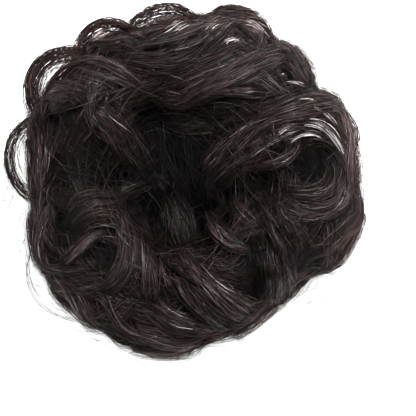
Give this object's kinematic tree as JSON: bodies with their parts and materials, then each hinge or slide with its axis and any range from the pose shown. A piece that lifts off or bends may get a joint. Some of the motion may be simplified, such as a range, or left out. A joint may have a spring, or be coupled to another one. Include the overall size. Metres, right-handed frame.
{
  "type": "top knot hairpiece",
  "caption": "Messy-bun false hair: curls of dark hair looped round an elastic ring, with a hollow underneath for the wearer's own knot of hair.",
  "frame": {"origin": "centre of the bounding box's footprint, at the level of the surface that the piece lies on", "axes": "+Z away from the head, along the middle of the elastic ring; +X and +Y across the bun, right and up in the picture"},
  "size_m": [0.141, 0.135, 0.0563],
  "materials": {
    "hair": "fine synthetic hair, near black with a brown cast, soft satin sheen along the strands",
    "elastic": "thread-covered elastic, black, matt"
  },
  "bodies": {
    "root": {"elastic_band": "elastic", "crown_locks": "hair", "curl_right": "hair", "curl_upper_right": "hair", "curl_top": "hair", "curl_top_left": "hair", "curl_upper_left": "hair", "curl_left": "hair", "curl_lower_left": "hair", "curl_bottom": "hair", "curl_lower_right": "hair"}
  },
  "joints": []
}
